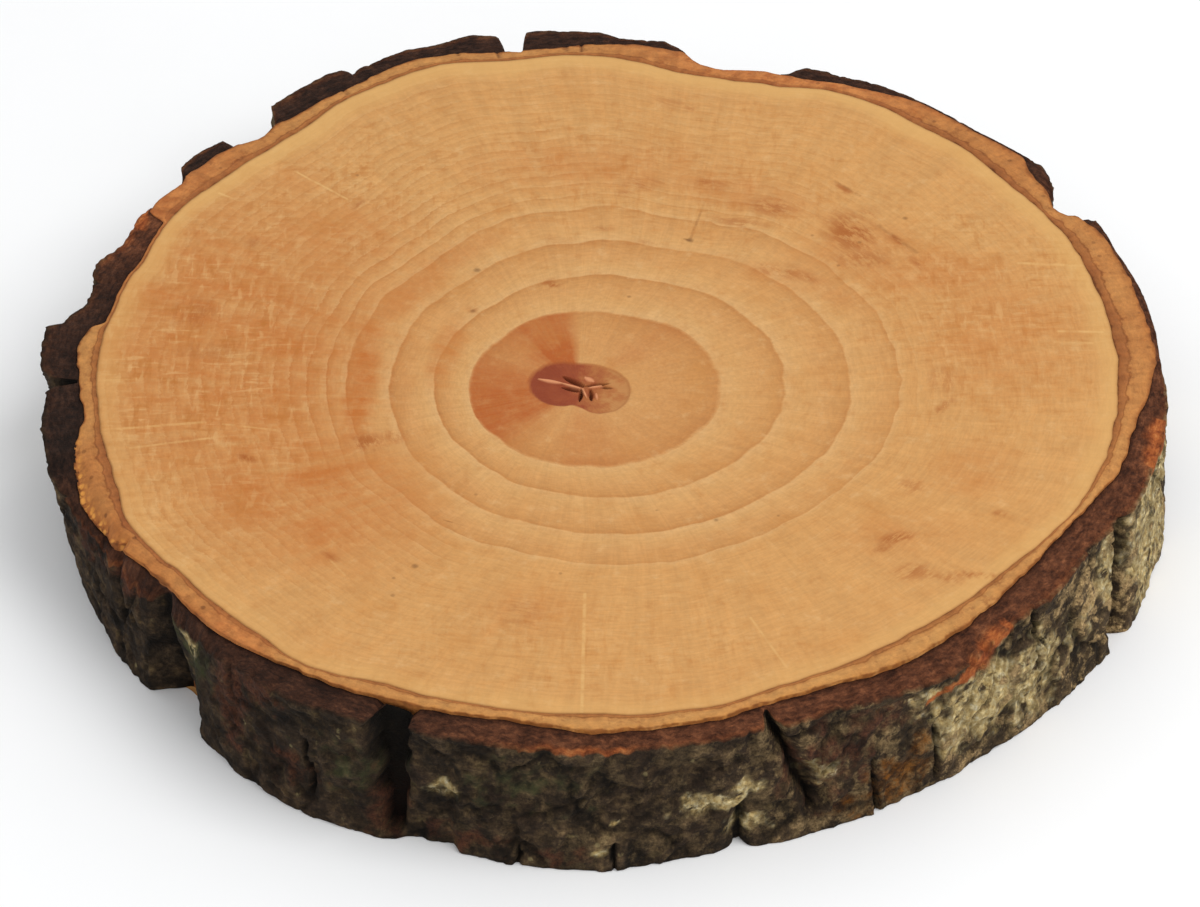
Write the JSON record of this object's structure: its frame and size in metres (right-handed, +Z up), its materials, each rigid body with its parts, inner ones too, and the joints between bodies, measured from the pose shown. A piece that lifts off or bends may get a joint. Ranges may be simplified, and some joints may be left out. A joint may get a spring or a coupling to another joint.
{
  "type": "wood slice",
  "caption": "Round slice sawn straight across a trunk with its bark on, for use as a stand, serving board, centrepiece base or craft blank.",
  "frame": {"origin": "middle of the footprint, on the lower sawn face", "axes": "+Z up along the trunk, square to both sawn faces; +X to the right and +Y away when the slice is seen with the deep black crack of the bark at the near left"},
  "size_m": [0.2514, 0.2578, 0.032],
  "materials": {
    "cut_wood": "dry sawn and lightly sanded end grain, matte",
    "inner_bark": "dry fibrous inner bark, matte",
    "outer_bark": "rough dark bark with pale lichen, matte"
  },
  "bodies": {
    "root": {"wood_slice": "cut_wood"}
  },
  "joints": []
}
